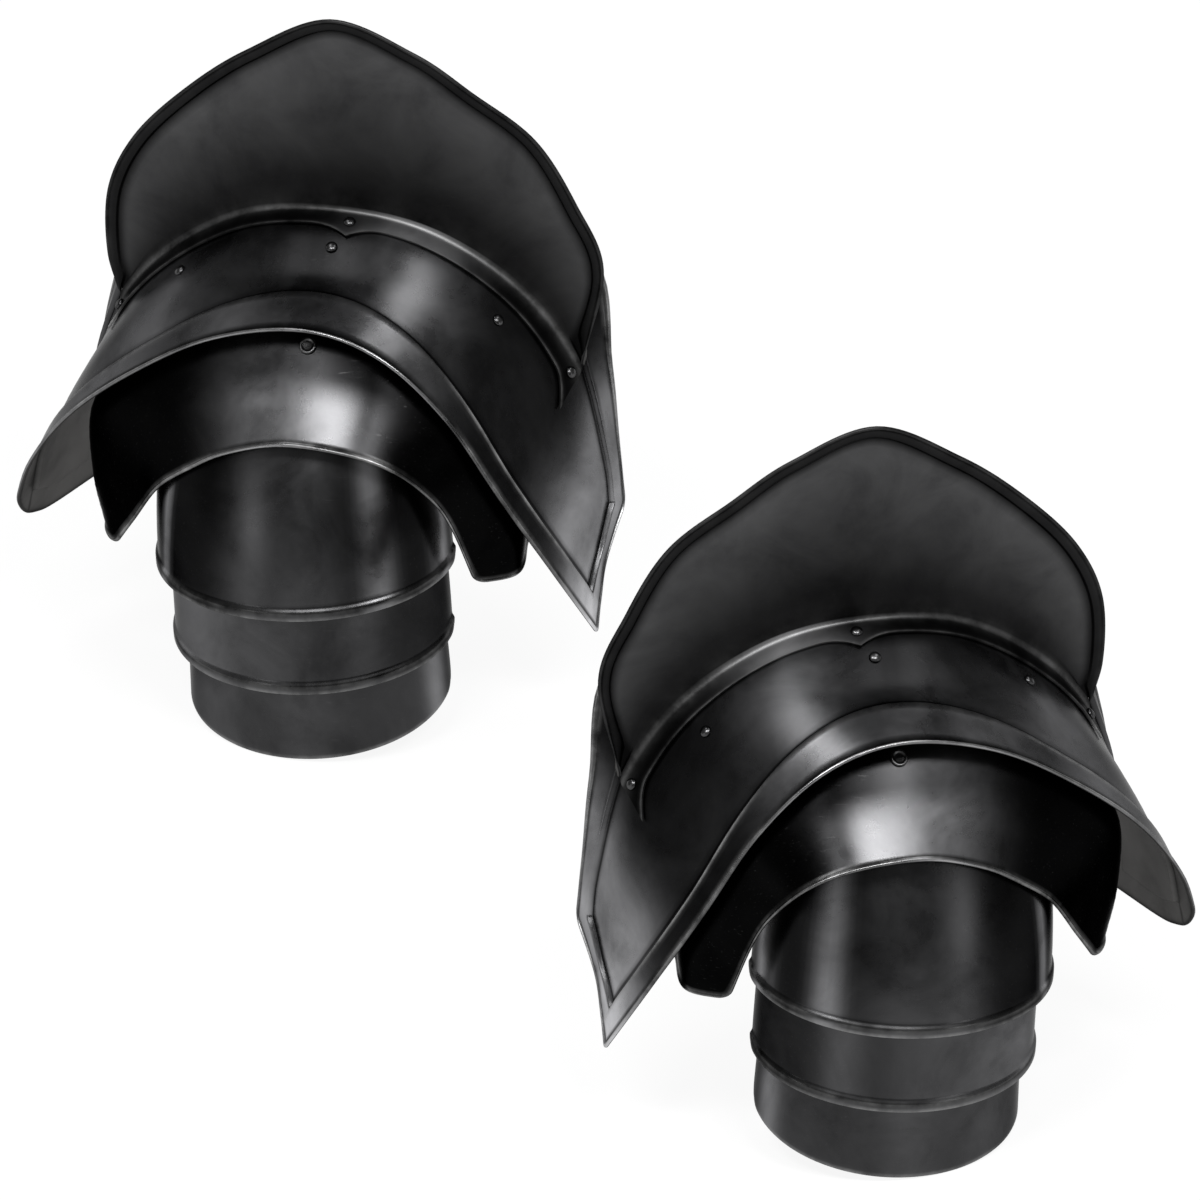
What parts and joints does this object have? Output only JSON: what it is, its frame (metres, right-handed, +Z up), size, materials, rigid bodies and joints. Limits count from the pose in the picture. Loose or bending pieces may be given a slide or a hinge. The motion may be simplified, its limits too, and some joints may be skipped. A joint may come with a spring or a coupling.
{
  "type": "pair of pauldrons",
  "caption": "Pair of shoulder defences: plate with upright neck guard, arch lame and nested arm lames on leathers, with buckled arm straps.",
  "frame": {"origin": "midway between the origins of the two pauldrons, which lie on the axes of their arm plates at the level of the arm lames", "axes": "+Z up; +Y towards the neck side of both pauldrons; +X from the right pauldron towards the left one, which stands 484 mm further forward on the same level, as the picture lays the pair out"},
  "size_m": [0.6292, 0.6976, 0.3916],
  "materials": {
    "plate_steel": "blackened sheet steel, satin, worn paler on the rolled edges",
    "rivet_steel": "blackened steel, a little brighter where rubbed",
    "leather": "dark brown vegetable-tanned, waxed"
  },
  "bodies": {
    "shoulders": {"left_back_leather": "leather", "left_front_leather": "leather", "left_haute_piece": "plate_steel", "left_haute_rivet_back": "rivet_steel", "left_haute_rivet_front": "rivet_steel", "left_haute_rivet_middle": "rivet_steel", "left_middle_leather": "leather", "left_shoulder_plate": "plate_steel", "left_shoulder_plate_rivet_back": "rivet_steel", "left_shoulder_plate_rivet_front": "rivet_steel", "left_shoulder_plate_rivet_middle": "rivet_steel", "right_back_leather": "leather", "right_front_leather": "leather", "right_haute_piece": "plate_steel", "right_haute_rivet_back": "rivet_steel", "right_haute_rivet_front": "rivet_steel", "right_haute_rivet_middle": "rivet_steel", "right_middle_leather": "leather", "right_shoulder_plate": "plate_steel", "right_shoulder_plate_rivet_back": "rivet_steel", "right_shoulder_plate_rivet_front": "rivet_steel", "right_shoulder_plate_rivet_middle": "rivet_steel"},
    "right_arch_lame": {"right_arch_lame": "plate_steel", "right_arch_lame_rivet_back": "rivet_steel", "right_arch_lame_rivet_front": "rivet_steel", "right_arch_lame_rivet_middle": "rivet_steel"},
    "right_arm_lame_1": {"right_arm_lame_1": "plate_steel", "right_arm_lame_1_rivet_back": "rivet_steel", "right_arm_lame_1_rivet_front": "rivet_steel", "right_arm_lame_1_rivet_middle": "rivet_steel"},
    "right_arm_lame_2": {"right_arm_lame_2": "plate_steel", "right_arm_lame_2_rivet_back": "rivet_steel", "right_arm_lame_2_rivet_front": "rivet_steel"},
    "right_arm_lame_3": {"right_arm_lame_3": "plate_steel", "right_arm_lame_3_rivet_back": "rivet_steel", "right_arm_lame_3_rivet_front": "rivet_steel", "right_arm_strap": "leather", "right_buckle_chape": "leather"},
    "right_buckle_frame": {"right_buckle_frame": "rivet_steel"},
    "right_buckle_prong": {"right_buckle_prong": "rivet_steel"},
    "left_arch_lame": {"left_arch_lame": "plate_steel", "left_arch_lame_rivet_back": "rivet_steel", "left_arch_lame_rivet_front": "rivet_steel", "left_arch_lame_rivet_middle": "rivet_steel"},
    "left_arm_lame_1": {"left_arm_lame_1": "plate_steel", "left_arm_lame_1_rivet_back": "rivet_steel", "left_arm_lame_1_rivet_front": "rivet_steel", "left_arm_lame_1_rivet_middle": "rivet_steel"},
    "left_arm_lame_2": {"left_arm_lame_2": "plate_steel", "left_arm_lame_2_rivet_back": "rivet_steel", "left_arm_lame_2_rivet_front": "rivet_steel"},
    "left_arm_lame_3": {"left_arm_lame_3": "plate_steel", "left_arm_lame_3_rivet_back": "rivet_steel", "left_arm_lame_3_rivet_front": "rivet_steel", "left_arm_strap": "leather", "left_buckle_chape": "leather"},
    "left_buckle_frame": {"left_buckle_frame": "rivet_steel"},
    "left_buckle_prong": {"left_buckle_prong": "rivet_steel"}
  },
  "joints": [
    {"name": "right_arch_lame_swing", "type": "hinge", "parent": "shoulders", "child": "right_arch_lame", "pos_m": [-0.15517, 0.26714, 0.06984], "axis": [-0.9487, 0.3083, -0.0698], "range_deg": [0, 10], "deforming": ["right_back_leather", "right_front_leather", "right_middle_leather"]},
    {"name": "right_arm_lame_1_swing", "type": "hinge", "parent": "right_arch_lame", "child": "right_arm_lame_1", "pos_m": [-0.15726, 0.2573, 0.05488], "axis": [-0.9487, 0.3083, -0.0698], "range_deg": [0, 8], "deforming": ["right_back_leather", "right_front_leather", "right_middle_leather"]},
    {"name": "right_arm_lame_2_swing", "type": "hinge", "parent": "right_arm_lame_1", "child": "right_arm_lame_2", "pos_m": [-0.15549, 0.25147, 0.00499], "axis": [-0.9487, 0.3083, -0.0698], "range_deg": [0, 10], "deforming": ["right_back_leather", "right_front_leather"]},
    {"name": "right_arm_lame_3_swing", "type": "hinge", "parent": "right_arm_lame_2", "child": "right_arm_lame_3", "pos_m": [-0.15251, 0.2505, -0.0399], "axis": [-0.9487, 0.3083, -0.0698], "range_deg": [0, 12], "deforming": ["right_back_leather", "right_front_leather"]},
    {"name": "right_buckle_frame_tilt", "type": "hinge", "parent": "right_arm_lame_3", "child": "right_buckle_frame", "pos_m": [-0.09501, 0.23984, -0.03084], "axis": [0.0663, -0.0216, -0.9976], "range_deg": [0, 12]},
    {"name": "right_buckle_prong_lift", "type": "hinge", "parent": "right_buckle_frame", "child": "right_buckle_prong", "pos_m": [-0.09501, 0.23984, -0.03084], "axis": [0.0663, -0.0216, -0.9976], "range_deg": [0, 60]},
    {"name": "left_arch_lame_swing", "type": "hinge", "parent": "shoulders", "child": "left_arch_lame", "pos_m": [0.15517, -0.21656, 0.06984], "axis": [-0.9487, -0.3083, 0.0698], "range_deg": [0, 10], "deforming": ["left_back_leather", "left_front_leather", "left_middle_leather"]},
    {"name": "left_arm_lame_1_swing", "type": "hinge", "parent": "left_arch_lame", "child": "left_arm_lame_1", "pos_m": [0.15726, -0.2264, 0.05488], "axis": [-0.9487, -0.3083, 0.0698], "range_deg": [0, 8], "deforming": ["left_back_leather", "left_front_leather", "left_middle_leather"]},
    {"name": "left_arm_lame_2_swing", "type": "hinge", "parent": "left_arm_lame_1", "child": "left_arm_lame_2", "pos_m": [0.15549, -0.23223, 0.00499], "axis": [-0.9487, -0.3083, 0.0698], "range_deg": [0, 10], "deforming": ["left_back_leather", "left_front_leather"]},
    {"name": "left_arm_lame_3_swing", "type": "hinge", "parent": "left_arm_lame_2", "child": "left_arm_lame_3", "pos_m": [0.15251, -0.2332, -0.0399], "axis": [-0.9487, -0.3083, 0.0698], "range_deg": [0, 12], "deforming": ["left_back_leather", "left_front_leather"]},
    {"name": "left_buckle_frame_tilt", "type": "hinge", "parent": "left_arm_lame_3", "child": "left_buckle_frame", "pos_m": [0.09501, -0.24386, -0.03084], "axis": [0.0663, 0.0216, 0.9976], "range_deg": [0, 12]},
    {"name": "left_buckle_prong_lift", "type": "hinge", "parent": "left_buckle_frame", "child": "left_buckle_prong", "pos_m": [0.09501, -0.24386, -0.03084], "axis": [0.0663, 0.0216, 0.9976], "range_deg": [0, 60]}
  ]
}
